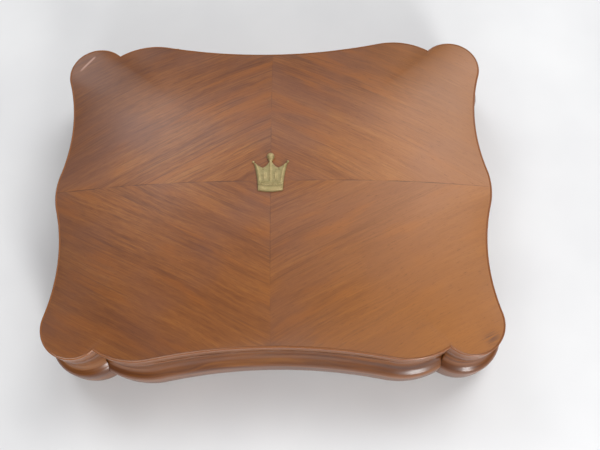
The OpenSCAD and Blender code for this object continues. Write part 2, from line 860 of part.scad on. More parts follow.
module crown() {
  color("DarkKhaki") translate([0, 0, crown_z]) difference() {
    union() {
      linear_extrude(1.4) crown_2d();
      linear_extrude(2.2) intersection() {
        crown_2d();
        translate([-20, -9]) square([40, 5.6]);
      }
      translate([0, 17.2, 1]) sphere(r = 2.4);
      for (s = [-1, 1]) translate([s * crown_w, 13.6, 1]) sphere(r = 1.4);
      for (x = [-6:3:6]) translate([x, -5.6, 2]) sphere(r = 1.1);
    }
    translate([-20, -20, -5]) cube([40, 50, 5]);
  }
}

base_felt();
base_board();
base_screws();
front_wall();
back_wall();
left_wall();
right_wall();
front_facing();
back_facing();
left_facing();
right_facing();
left_moulding();
right_moulding();
drawer_guides();
floor_cleats();
compartment_floor();
lining_floor();
lining_front();
lining_back();
lining_left();
lining_right();
hinge_body_leaves();
hinge_pins();
hinge_body_screws();
lock_case();
lock_selvedge();
lock_selvedge_screws();
keyhole_plate();
keyhole_pins();
lock_bolt();
front_moulding();
moulding_pegs();
back_moulding();
drawer_front();
drawer_left_side();
drawer_right_side();
drawer_end();
drawer_bottom();
drawer_lining();
key();
lid_frame();
lid_dome();
lid_lipping_front();
lid_lipping_back();
lid_lipping_left();
lid_lipping_right();
veneer_back_right();
veneer_back_left();
veneer_front_left();
veneer_front_right();
lid_lining();
hinge_lid_leaves();
hinge_lid_screws();
lock_plate();
lock_plate_screws();
crown();
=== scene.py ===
"""Looks of the puzzle box: polished ribbon-striped veneer, shaped mouldings, a brass crown.

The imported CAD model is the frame. The outer wood, the veneer, the crown and the linings are
rebuilt here as smooth surfaces, and everything else keeps its CAD mesh and gets a material.
"""

import json
import math

import bpy
import numpy as np
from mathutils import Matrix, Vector


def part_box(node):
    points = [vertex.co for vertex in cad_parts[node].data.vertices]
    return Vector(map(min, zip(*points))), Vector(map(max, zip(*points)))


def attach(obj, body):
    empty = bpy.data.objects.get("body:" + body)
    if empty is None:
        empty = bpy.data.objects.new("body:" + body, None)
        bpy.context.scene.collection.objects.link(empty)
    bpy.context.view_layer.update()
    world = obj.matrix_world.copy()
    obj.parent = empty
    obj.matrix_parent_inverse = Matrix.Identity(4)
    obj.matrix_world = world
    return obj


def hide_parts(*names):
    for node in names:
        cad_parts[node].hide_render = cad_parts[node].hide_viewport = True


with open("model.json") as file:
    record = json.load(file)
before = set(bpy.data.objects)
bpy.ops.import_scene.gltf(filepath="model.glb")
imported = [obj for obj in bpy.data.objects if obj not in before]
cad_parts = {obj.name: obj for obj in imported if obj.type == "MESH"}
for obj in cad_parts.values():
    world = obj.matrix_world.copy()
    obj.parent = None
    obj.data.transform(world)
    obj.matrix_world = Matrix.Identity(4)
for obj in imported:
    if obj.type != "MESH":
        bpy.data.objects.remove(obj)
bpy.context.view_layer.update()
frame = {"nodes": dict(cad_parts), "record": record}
body_nodes = frame["record"]["behaviour"]["bodies"]
MM = 0.001

# ---- Sizes of the box in millimetres, as in the CAD model, apart from COVE and MOULDING_LIP:
# the hollow of the facings is shallower here, and they sweep out further into the moulding
BOX_W, BOX_D = 300.0, 233.6
JOINT_H, LID_GAP, LID_EDGE = 54.0, 0.2, 10.3
LID_Z = JOINT_H + LID_GAP
RIM_Z = LID_Z + LID_EDGE
DOME_RISE, DOME_POWER = 16.6, 2.5
LIPPING_W, VENEER_T = 4.0, 0.9
FACING_T, COVE, RAIL_H = 4.0, 1.2, 4.0
RAIL_Z = JOINT_H - RAIL_H
FELT_T, MOULDING_H, MOULDING_OUT, MOULDING_LIP = 0.5, 28.0, 6.0, 3.4
SLIDE_GAP, END_GAP = 0.15, 0.3
FULLEST = 0.36

# ---- Outline: arcs of the lobes, side bulges, waists, bumps and the hollow between the bumps
LOBE_R, SIDE_R, WAIST_R, BUMP_R, DIP = 21.5, 48.4, 129.6, 49.3, 8.6
LOBE = np.array([BOX_W / 2 - 21.8, BOX_D / 2 - 23.5])
SIDE = np.array([BOX_W / 2 - SIDE_R, 0.0])
BUMP = np.array([BOX_W / 2 - 62.8, BOX_D / 2 - BUMP_R])
DIP_DROP = BUMP_R - DIP
DIP_R = (BUMP[0] ** 2 + DIP_DROP**2 - BUMP_R**2) / (2 * (BUMP_R - DIP_DROP))
HOLLOW = np.array([0.0, BUMP[1] + DIP_DROP + DIP_R])


def heading(v):
    """Direction of a vector, in radians."""
    return math.atan2(v[1], v[0])


def meet(p, rp, q, rq, side):
    """Point where the circle round p crosses the circle round q: along the line of centres by
    a = (rp^2 - rq^2 + d^2) / 2d, then across it by the square root of rp^2 - a^2."""
    d = math.dist(p, q)
    a = (rp * rp - rq * rq + d * d) / (2 * d)
    u = (q - p) / d
    return p + a * u + side * math.sqrt(rp * rp - a * a) * np.array([-u[1], u[0]])


WAIST = meet(LOBE, LOBE_R + WAIST_R, SIDE, SIDE_R + WAIST_R, 1)
SIDE_END, LOBE_START = heading(WAIST - SIDE), heading(WAIST - LOBE)
BUMP_END = heading(HOLLOW - BUMP)


def cusp(d):
    """Corner between a lobe and a bump when the outline is grown by d."""
    return meet(LOBE, LOBE_R + d, BUMP, BUMP_R + d, -1)


SEAM_X = cusp(MOULDING_OUT)[0]


def arc(centre, r, a0, a1, n):
    """n points on a circle of radius r from angle a0 towards a1, the last one left out."""
    a = a0 + (a1 - a0) * np.arange(n) / n
    return centre + r * np.stack([np.cos(a), np.sin(a)], 1)


def side_run(d, x=None):
    """Side bulge, waist and lobe of the outline grown by d, up to the cusp or to the place x."""
    stop = heading(cusp(d) - LOBE) if x is None else math.acos((x - LOBE[0]) / (LOBE_R + d))
    last = LOBE + (LOBE_R + d) * np.array([[math.cos(stop), math.sin(stop)]])
    return np.concatenate([
        arc(SIDE, SIDE_R + d, 0, SIDE_END, 10),
        arc(WAIST, WAIST_R - d, SIDE_END + math.pi, LOBE_START + math.pi, 22),
        arc(LOBE, LOBE_R + d, LOBE_START, stop, 48), last])


def bump_run(d, x=None):
    """Bump and half the hollow of the outline grown by d, from the cusp or the place x."""
    start = heading(cusp(d) - BUMP) if x is None else math.acos((x - BUMP[0]) / (BUMP_R + d))
    return np.concatenate([
        arc(BUMP, BUMP_R + d, start, math.pi / 2, 22),
        arc(BUMP, BUMP_R + d, math.pi / 2, BUMP_END, 8),
        arc(HOLLOW, DIP_R - d, BUMP_END + math.pi, 1.5 * math.pi, 28),
        [[0.0, HOLLOW[1] - DIP_R + d]]])


def quarter(d):
    """A quarter of the outline, from the side bulge to the middle of the back."""
    return np.concatenate([side_run(d)[:-1], bump_run(d)])


def side_path(d, x=None):
    """Right side of the outline, from the front to the back."""
    q = side_run(d, x)
    return np.concatenate([q[:0:-1] * [1, -1], q])


def back_path(d, x=None):
    """Back of the outline, from the right to the left."""
    q = bump_run(d, x)
    return np.concatenate([q, q[-2::-1] * [-1, 1]])


# ---- Meshes
def mesh_piece(name, points, quads, body, smooth_deg=35, tris=None):
    """A piece from an array of points in millimetres and arrays of its quads and triangles.
    A face that repeats a point, if there is one, is left out."""
    mesh = bpy.data.meshes.new(name)
    faces = np.asarray(quads).reshape(-1, 4).tolist()
    if tris is not None:
        faces += np.asarray(tris).reshape(-1, 3).tolist()
    mesh.from_pydata((np.asarray(points) * MM).tolist(), [], faces)
    mesh.validate()
    mesh.shade_smooth()
    mesh.set_sharp_from_angle(angle=math.radians(smooth_deg))
    obj = bpy.data.objects.new(name, mesh)
    bpy.context.scene.collection.objects.link(obj)
    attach(obj, body)
    return obj


def mark(piece, name, kind, values):
    """Puts an array of values on the points of a piece, for its finish to read."""
    kept = piece.data.attributes.new(name, kind, "POINT")
    kept.data.foreach_set("value" if kind == "FLOAT" else "vector", np.ravel(values))


def grid_quads(rows, cols, wrap_rows=False, wrap_cols=False):
    """Quads of a grid of rows by cols points, numbered row by row. A quad runs along the row
    and then to the next row."""
    r = np.arange(rows if wrap_rows else rows - 1)[:, None]
    c = np.arange(cols if wrap_cols else cols - 1)[None, :]
    r1, c1 = (r + 1) % rows, (c + 1) % cols
    corners = [r * cols + c, r * cols + c1, r1 * cols + c1, r1 * cols + c]
    return np.stack(np.broadcast_arrays(*corners), -1).reshape(-1, 4)


def slab_quads(m, n):
    """Quads of a closed slab: an m by n grid in front, one behind, and a wall round their rim."""
    half = m * n
    grid = np.arange(half).reshape(m, n)
    rim = np.concatenate([grid[0, :-1], grid[:-1, -1], grid[-1, :0:-1], grid[:0:-1, 0]])
    after = np.roll(rim, -1)
    front = grid_quads(m, n)
    wall = np.stack([rim + half, after + half, after, rim], 1)
    return np.concatenate([front, front[:, ::-1] + half, wall])


def fan(ring, centre, turned):
    """Triangles from each side of a ring of point numbers to the point centre."""
    a, b = ring[:-1], ring[1:]
    c = np.full_like(a, centre)
    return np.stack([b, a, c] if turned else [a, b, c], -1)


def swept_band(name, profile, path, body, turn=False):
    """A closed band: the profile's points [grown by, height] carried along path(grown by),
    so row j is the path at the profile's point j, with a fan of triangles over each end."""
    rows = [np.column_stack([path(d), np.full(len(path(d)), z)]) for d, z in profile]
    m, n = len(rows), len(rows[0])
    points = np.concatenate(rows)
    if turn:
        points = points * [-1, -1, 1]
    ends = [points.reshape(m, n, 3)[:, k].mean(0) for k in (0, n - 1)]
    points = np.concatenate([points, ends])
    quads = grid_quads(m, n, wrap_rows=True)
    ring = np.arange(m + 1) % m * n
    tris = np.concatenate([fan(ring, m * n, False), fan(ring + n - 1, m * n + 1, True)])
    piece = mesh_piece(name, points, quads, body, tris=tris)
    steps = np.linalg.norm(np.diff(points[:n], axis=0), axis=1)
    length = np.concatenate([[0], np.cumsum(steps)])
    run = np.stack([np.tile(length, m), points[:m * n, 2], np.zeros(m * n)], 1)
    run = np.concatenate([run, [[0, 0, 0], [length[-1], 0, 0]]])
    mark(piece, "run", "FLOAT_VECTOR", run)
    return piece


# ---- Base mouldings, wall facings, rails and the lipping of the lid
def bulge(u):
    """How far the moulding stands out at the share u of its height: 1 - x^11 above its fullest
    place, which is steep and then rolls over at the top, and a parabola below it."""
    above = 1 - np.abs((u - FULLEST) / (1 - FULLEST)) ** 11
    below = 1 - 0.45 * ((FULLEST - u) / FULLEST) ** 2
    return MOULDING_LIP + (MOULDING_OUT - MOULDING_LIP) * np.where(u > FULLEST, above, below)


def moulding_profile(back, top):
    """The bulge from the bottom up, its rows closer towards the top, and down the flat back."""
    u = np.sin(np.linspace(0, math.pi / 2, 40))
    front = np.column_stack([bulge(u), FELT_T + (top - FELT_T) * u])
    eased = [[front[0, 0] - 0.8, FELT_T]]
    return np.concatenate([eased, front[1:], [[back, top], [back, FELT_T]]])


def hollow_profile():
    """The facing: u runs down it, and it stands out by lip u^11 - cove sin(pi u)^1.5, so that
    it sweeps out into the moulding below."""
    u = np.sin(np.linspace(math.pi / 2, 0, 40))
    out = MOULDING_LIP * u**11 - COVE * np.abs(np.sin(math.pi * u)) ** 1.5
    front = np.column_stack([out, RAIL_Z - (RAIL_Z - MOULDING_H) * u])
    return np.concatenate([front, [[-FACING_T, RAIL_Z], [-FACING_T, MOULDING_H]]])


def lipping_profile():
    """The straight edge of the lid, its top corner rounded by 1 mm."""
    r = 1.0
    a = np.radians(np.linspace(0, 70, 10))
    top = np.column_stack([-r + r * np.cos(a), RIM_Z - 0.94 * r + r * np.sin(a)])
    low = [[-LIPPING_W, LID_Z], [-0.5, LID_Z], [-0.15, LID_Z + 0.12], [0.0, LID_Z + 0.5]]
    return np.concatenate([low, top, [[-LIPPING_W, RIM_Z - 0.9]]])


def rail_profile():
    """A thin skin over the straight rail of the walls."""
    return [[-0.3, RAIL_Z + 0.02], [0.03, RAIL_Z + 0.02], [0.03, JOINT_H - 0.35],
            [-0.12, JOINT_H - 0.05], [-0.3, JOINT_H - 0.05]]


side_low = moulding_profile(-FACING_T, MOULDING_H)
end_low = moulding_profile(SLIDE_GAP - FACING_T, MOULDING_H - SLIDE_GAP)


def side_end(d):
    """Path of a side moulding, up to its mitre with the loose mouldings."""
    return side_path(d, SEAM_X + END_GAP / 2)


def loose_end(d):
    """Path of a loose moulding, from mitre to mitre."""
    return back_path(d, SEAM_X - END_GAP / 2)


# The rails have no node of their own: they are skins over the tops of the walls
outer_wood = []
for node, profile, path, body, turn in [
    ("right_moulding", side_low, side_end, "box", False),
    ("left_moulding", side_low, side_end, "box", True),
    ("back_moulding", end_low, loose_end, "drawer", False),
    ("front_moulding", end_low, loose_end, "front_moulding_piece", True),
    ("right_facing", hollow_profile(), side_path, "box", False),
    ("left_facing", hollow_profile(), side_path, "box", True),
    ("back_facing", hollow_profile(), back_path, "box", False),
    ("front_facing", hollow_profile(), back_path, "box", True),
    ("lid_lipping_right", lipping_profile(), side_path, "lid", False),
    ("lid_lipping_left", lipping_profile(), side_path, "lid", True),
    ("lid_lipping_back", lipping_profile(), back_path, "lid", False),
    ("lid_lipping_front", lipping_profile(), back_path, "lid", True),
    ("rail_right", rail_profile(), side_path, "box", False),
    ("rail_left", rail_profile(), side_path, "box", True),
    ("rail_back", rail_profile(), back_path, "box", False),
    ("rail_front", rail_profile(), back_path, "box", True),
]:
    piece = swept_band("shaped_" + node, profile, path, body, turn)
    if not node.startswith("rail"):
        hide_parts(node)
    outer_wood.append(piece)


# ---- Veneer of the domed top
FLAT, RIM_INSET, EASINGS = 0.25, 1.45, 60
OVAL_X, OVAL_Y = BOX_W / 2 - LIPPING_W - 1.5, BOX_D / 2 - LIPPING_W - 3


def dome_height(t):
    """Rise of the dome at the share t of the way out from the middle, 1 - t^p, with t rounded
    off to FLAT in the middle, where the crown stands on level wood."""
    return DOME_RISE * (1 - (t**6 + FLAT**6) ** (DOME_POWER / 6))


def eased_normals(x, y, z):
    """Normals of the domed grid, averaged along its rows so that the corners of the outline
    don't crease the polish. At the seams they lie in the plane of the seam."""
    grid = np.stack([x, y, z], 2)
    normals = np.cross(np.gradient(grid, axis=1), np.gradient(grid, axis=0))
    normals *= np.sign(normals[..., 2:])
    normals /= np.linalg.norm(normals, axis=2, keepdims=True)
    for _ in range(EASINGS):
        normals[:, 1:-1] = (normals[:, :-2] + 2 * normals[:, 1:-1] + normals[:, 2:]) / 4
        normals[:, 0, 1] = normals[:, -1, 0] = 0
    return (normals / np.linalg.norm(normals, axis=2, keepdims=True)).reshape(-1, 3)


def veneer_quarter(name, sx, sy):
    """A quarter of the veneer on the dome, as a function of the place along the outline and the
    share t of the way out. The direction stays that of the outline's point; the radius goes from
    the outline's at the rim, with the weight t^14, to that of an oval of the power 2 + 3t."""
    rim = quarter(-RIM_INSET)
    t = 1 - np.linspace(0, 0.985, 60)[:, None] ** 2
    radius = np.hypot(rim[:, 0], rim[:, 1])
    c, s = rim[:, 0] / radius, rim[:, 1] / radius
    power = 2 + 3 * t
    oval = ((np.abs(c) / OVAL_X) ** power + (np.abs(s) / OVAL_Y) ** power) ** (-1 / power)
    w = t**14
    r = t * (w * radius + (1 - w) * oval)
    m, n = r.shape
    height = np.broadcast_to(RIM_Z + dome_height(t), r.shape)
    top = np.stack([r * c * sx, r * s * sy, height], 2).reshape(-1, 3)
    middle = np.array([[0, 0, RIM_Z + dome_height(t[-1, 0])]])
    upper = np.concatenate([top, middle])
    points = np.concatenate([upper, upper - [0, 0, VENEER_T]])
    normals = np.zeros_like(points)
    normals[:len(top)] = eased_normals(r * c, r * s, height) * [sx, sy, 1]
    half = len(upper)
    quads = grid_quads(m, n)
    rows, cols = np.arange(m) * n, np.arange(n)
    one_seam, other_seam = np.append(rows, half - 1), np.append(rows + n - 1, half - 1)
    sides = [np.stack([a, b, b + half, a + half], 1) for a, b in (
        (cols[1:], cols[:-1]), (one_seam[:-1], one_seam[1:]), (other_seam[1:], other_seam[:-1]))]
    last = cols + (m - 1) * n
    tris = np.concatenate([fan(last, half - 1, False), fan(last, half - 1, True) + half])
    quads = np.concatenate([quads, quads[:, ::-1] + half, *sides])
    if sx * sy < 0:
        quads, tris = quads[:, ::-1], tris[:, ::-1]
    piece = mesh_piece("polished_" + name, points, quads, "lid", tris=tris)
    piece.data.normals_split_custom_set_from_vertices(normals.tolist())
    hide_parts(name)
    return piece


veneers = [
    veneer_quarter("veneer_back_right", 1, 1),
    veneer_quarter("veneer_back_left", -1, 1),
    veneer_quarter("veneer_front_left", -1, -1),
    veneer_quarter("veneer_front_right", 1, -1),
]

# ---- Crown ornament: cast relief, turned beads on its points
CROWN_Z = RIM_Z + dome_height(0)
FOOT_W, CROWN_W, VALLEY = 8.4, 11.6, 0.45


def bend(t, a, b, c):
    """Quadratic curve from a to c that bends towards b."""
    return (1 - t) ** 2 * a + 2 * t * (1 - t) * b + t**2 * c


def crown_top(a):
    """Upper edge of the crown at the share a of its half width: one curve down from the middle
    finial to a valley, and one up from there to the side point."""
    down, up = a / VALLEY, (a - VALLEY) / (1 - VALLEY)
    x = np.where(a < VALLEY, bend(down, 0, 1.7, 5.3), bend(up, 5.3, 7.9, CROWN_W))
    y = np.where(a < VALLEY, bend(down, 16.2, 10.2, 9.2), bend(up, 9.2, 10.2, 13.4))
    return x, y


def crown_relief(x, y):
    """Height of the casting above its plate: a round foot band, a twisted cord over it, ribs to
    the points and a leaf between them, each a bell-shaped bump across its own line."""
    a = np.abs(x)
    sag = 0.012 * x**2
    band = 0.75 * np.exp(-(np.abs(y + 6.1 - sag) / 1.5) ** 4)
    cord = 0.6 * np.exp(-(((y + 3.1 - sag) / 0.62) ** 2)) * (0.75 + 0.25 * np.cos(x * 3.4 + y * 2))
    thread = 0.35 * np.exp(-(((y + 1.6 - sag) / 0.35) ** 2))
    above = 1 / (1 + np.exp(-(y + 0.9) / 0.25))
    ribs = np.exp(-((x / 0.9) ** 2)) + np.exp(-(((a - 7.2 - 0.012 * (y + 3) ** 2) / 0.8) ** 2))
    leaf = np.exp(-((np.hypot((a - 3.7) / 1.2, (y - 3.2) / 3.2)) ** 4))
    vein = 0.35 * np.exp(-(((a - 3.7) / 0.28) ** 2))
    eyes = 0.5 * np.exp(-((np.hypot(a - 5.3, y - 7.6) / 0.55) ** 2))
    return band + cord + thread + above * (0.6 * ribs + 0.5 * leaf * (1 - vein) - eyes)


def bead(centre, radius, steps=20):
    """A cast ball: points on circles round the crown's upward direction, its back flattened
    against the plate. Row j is the circle at the angle pi j / steps."""
    a = np.linspace(0, math.pi, steps)[:, None]
    b = np.linspace(0, 2 * math.pi, 2 * steps, endpoint=False)[None, :]
    x = centre[0] + radius * np.sin(a) * np.cos(b)
    y = centre[1] - radius * np.cos(a) + 0 * b
    z = np.maximum(centre[2] + radius * np.sin(a) * np.sin(b), 0.02)
    return np.stack([x, y, z], 2).reshape(-1, 3), grid_quads(steps, 2 * steps, wrap_cols=True)


def piece_relief(piece, points, relief):
    """Height of the cast detail at each point kept in the mesh, and 0.9 on the beads."""
    values = np.full(len(points), 0.9)
    values[:relief.size] = relief.ravel()
    values[relief.size:2 * relief.size] = 0
    return values[:len(piece.data.vertices)]


def crown_piece():
    """The crown as a function of u across it and v from its foot to its points: each upright is
    a quadratic curve from the foot through the waist to the upper edge."""
    u = np.linspace(-1, 1, 145)[None, :]
    v = np.linspace(0, 1, 110)[:, None]
    top_x, top_y = crown_top(np.abs(u))
    foot_y = -8 + u**2
    x = bend(v, FOOT_W * u, 8.5 * u, np.sign(u) * top_x)
    y = bend(v, foot_y, (foot_y + top_y) / 2, top_y)
    side = 1 - np.abs(2 * v - 1) ** 40
    edge = np.sqrt(np.clip((1 - np.abs(u) ** 28) * side, 0, 1))
    relief = crown_relief(x, y) * edge
    z = 0.35 + 0.85 * edge + relief
    front = np.stack([x, y, z], 2).reshape(-1, 3)
    points = np.concatenate([front, front * [1, 1, 0]])
    parts, faces = [points], [slab_quads(*z.shape)]
    total = len(points)
    for centre, radius in (((0, 17.2, 0.8), 2.55), ((0, 15.0, 0.8), 1.6),
                           ((CROWN_W, 13.5, 0.6), 0.8), ((-CROWN_W, 13.5, 0.6), 0.8)):
        shell, sides = bead(centre, radius)
        parts.append(shell)
        faces.append(sides + total)
        total += len(shell)
    points = np.concatenate(parts)
    piece = mesh_piece("crown_casting", points + [0, 0, CROWN_Z], np.concatenate(faces), "lid",
                       smooth_deg=50)
    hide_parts("crown")
    mark(piece, "relief", "FLOAT", piece_relief(piece, points, relief))
    return piece


crown = crown_piece()


# ---- Linings, and the side of each along its thin axis that faces the room
FACES = {"lining_floor": 1, "lining_front": 1, "lining_back": -1, "lining_left": 1,
         "lining_right": -1, "lid_lining": -1, "drawer_lining": 1}


def lining_pad(node, soft):
    """A covered card with a thin pad: over the node's box the face rises by its thickness times
    ((1 - |u|^k)(1 - |v|^k))^0.4, so that it is pulled down all round, and it is flat behind."""
    low, high = (np.array(corner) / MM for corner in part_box(node))
    thin = int(np.argmin(high - low))
    wide, tall = [axis for axis in range(3) if axis != thin]
    facing = FACES[node]
    u, v = np.linspace(-1, 1, 121)[None, :], np.linspace(-1, 1, 81)[:, None]
    rise = np.clip((1 - np.abs(u) ** soft) * (1 - np.abs(v) ** soft), 0, 1) ** 0.4
    sides = np.stack(np.broadcast_arrays(u, v), 2).reshape(-1, 2)
    m, n = rise.shape
    points = np.zeros((2 * m * n, 3))
    centre, reach = (low + high) / 2, (high - low) / 2 - 0.02
    for axis, value in ((wide, sides[:, 0]), (tall, sides[:, 1])):
        points[:, axis] = np.tile(centre[axis] + reach[axis] * value, 2)
    back = centre[thin] - facing * reach[thin]
    front = back + facing * 2 * reach[thin] * (0.12 + 0.88 * rise.ravel())
    points[:, thin] = np.concatenate([front, np.full(m * n, back)])
    quads = slab_quads(m, n)
    turned = facing > 0 if thin == 1 else facing < 0
    if turned:
        quads = quads[:, ::-1]
    body = next(b for b, members in body_nodes.items() if node in members)
    piece = mesh_piece("padded_" + node, points, quads, body, smooth_deg=60)
    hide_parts(node)
    return piece


pads = [lining_pad(node, soft) for node, fill, soft in [
    ("lining_floor", 0.8, 14), ("lid_lining", 0.8, 12), ("drawer_lining", 0.9, 20),
    ("lining_front", 0.9, 12), ("lining_back", 0.9, 12),
    ("lining_left", 0.9, 12), ("lining_right", 0.9, 12)]]


def base_cloth():
    """The felt under the base: the outline drawn in by FACING_T + 2 and scaled towards the
    middle in rings, a thin closed sheet."""
    q = quarter(-FACING_T - 2)
    rim = np.concatenate([q[:-1], q[:0:-1] * [-1, 1], -q[:-1], q[:0:-1] * [1, -1]])
    share = np.append(np.linspace(0, 0.97, 13) ** 0.7, 1.0)[:0:-1, None, None]
    rings = (rim[None] * share).reshape(-1, 2)
    m, n = len(share), len(rim)
    flat = np.append(rings, [[0, 0]], 0)
    half = len(flat)
    points = np.concatenate([np.column_stack([flat, np.full(half, z)])
                             for z in (FELT_T - 0.01, 0.0)])
    quads = grid_quads(m, n, wrap_cols=True)
    ring = np.arange(n + 1) % n
    hub = fan(ring + (m - 1) * n, half - 1, False)
    wall = np.stack([ring[1:], ring[:-1], ring[:-1] + half, ring[1:] + half], 1)
    quads = np.concatenate([quads, quads[:, ::-1] + half, wall])
    piece = mesh_piece("laid_base_felt", points, quads, "box",
                       tris=np.concatenate([hub, hub[:, ::-1] + half]))
    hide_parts("base_felt")
    return piece


pads.append(base_cloth())


# ---- Finishes
class Flow:
    """A value on its way through a finish; an expression on values adds Math nodes."""

    def __init__(self, finish, socket):
        self.finish, self.socket = finish, socket

    def math(self, operation, a, b=0.0):
        return self.finish.add("ShaderNodeMath", {"operation": operation}, {0: a, 1: b})

    def __add__(self, other):
        return self.math("ADD", self, other)

    def __sub__(self, other):
        return self.math("SUBTRACT", self, other)

    def __rsub__(self, other):
        return self.math("SUBTRACT", other, self)

    def __mul__(self, other):
        return self.math("MULTIPLY", self, other)

    def __abs__(self):
        return self.math("ABSOLUTE", self)

    __radd__, __rmul__ = __add__, __mul__


def set_stops(ramp, stops):
    """Sets a ramp's stops, each a place and a colour. A new ramp already has two."""
    for place, _ in stops[2:]:
        ramp.elements.new(place)
    for element, (place, colour) in zip(ramp.elements, sorted(stops)):
        element.position, element.color = place, (*colour, 1)


class Finish:
    """A material. Its constants go straight to the shader's own sockets."""

    def __init__(self, name, **constants):
        self.material = bpy.data.materials.new(name)
        self.material.use_nodes = True
        self.tree = self.material.node_tree
        self.shader = self.tree.nodes["Principled BSDF"]
        for socket, value in constants.items():
            self.shader.inputs[socket.replace("_", " ")].default_value = value

    def add(self, kind, settings=None, sockets=None, output=0):
        """One node: its settings, then a value or a Flow for each socket named or numbered."""
        node = self.tree.nodes.new(kind)
        for key, value in (settings or {}).items():
            if key == "stops":
                set_stops(node.color_ramp, value)
            else:
                setattr(node, key, value)
        for key, value in (sockets or {}).items():
            self.put(node.inputs[key], value)
        return Flow(self, node.outputs[output])

    def put(self, socket, value):
        """Links a Flow to a socket, or sets the socket to a number or colour."""
        if isinstance(value, Flow):
            self.tree.links.new(value.socket, socket)
        else:
            socket.default_value = value

    def feed(self, **varying):
        """Gives the shader what varies over the surface."""
        for socket, value in varying.items():
            self.put(self.shader.inputs[socket.replace("_", " ")], value)
        return self.material

    def place(self):
        """The three object coordinates, in millimetres."""
        spot = self.add("ShaderNodeTexCoord", output=3)
        spot = self.add("ShaderNodeMapping", {}, {"Vector": spot, "Scale": (1000, 1000, 1000)})
        return [self.add("ShaderNodeSeparateXYZ", {}, {0: spot}, axis) for axis in range(3)]

    def spot(self, x, y, z=0.0):
        """A place for a pattern to be read at."""
        return self.add("ShaderNodeCombineXYZ", {}, {0: x, 1: y, 2: z})

    def noise(self, spot, scale=1.0, detail=2.0, rough=0.5, warp=0.0):
        """Smooth noise at a place, from 0 to 1."""
        return self.add("ShaderNodeTexNoise", {}, {
            "Vector": spot, "Scale": scale, "Detail": detail, "Roughness": rough,
            "Distortion": warp})

    def step(self, value, start, end):
        """0 up to start, 1 from end on, and a smooth rise between."""
        return self.add("ShaderNodeMapRange", {"interpolation_type": "SMOOTHSTEP"},
                        {0: value, 1: start, 2: end})

    def ramp(self, value, stops):
        """A colour that follows a value from stop to stop."""
        return self.add("ShaderNodeValToRGB", {"stops": stops}, {0: value})

    def mix(self, share, a, b):
        """The colour a, with the share given of the colour b."""
        a, b = ((*c, 1) if isinstance(c, tuple) else c for c in (a, b))
        return self.add("ShaderNodeMix", {"data_type": "RGBA"},
                        {0: share, 6: a, 7: b}, 2)

    def bump(self, height, strength, distance):
        """A normal that leans as the height does, over a distance in metres."""
        return self.add("ShaderNodeBump", {}, {
            "Strength": strength, "Distance": distance, "Height": height})


# The lean of the veneer's grain, and the marks of use on it: where the middle of each is, and
# the direction across the scuff
GRAIN = math.radians(27)
LOBE_SMUDGE, FRONT_SMUDGE = (140, -103), (0, -78)
SCUFF, SCUFF_ACROSS = (-137, 102.3), (0.775, -0.63)


def apart(f, x, y, centre, start, end):
    """0 within start of the centre, 1 beyond end."""
    here = f.spot(x, y)
    far = f.add("ShaderNodeVectorMath", {"operation": "DISTANCE"}, {0: here, 1: (*centre, 0)}, 1)
    return f.step(far, start, end)


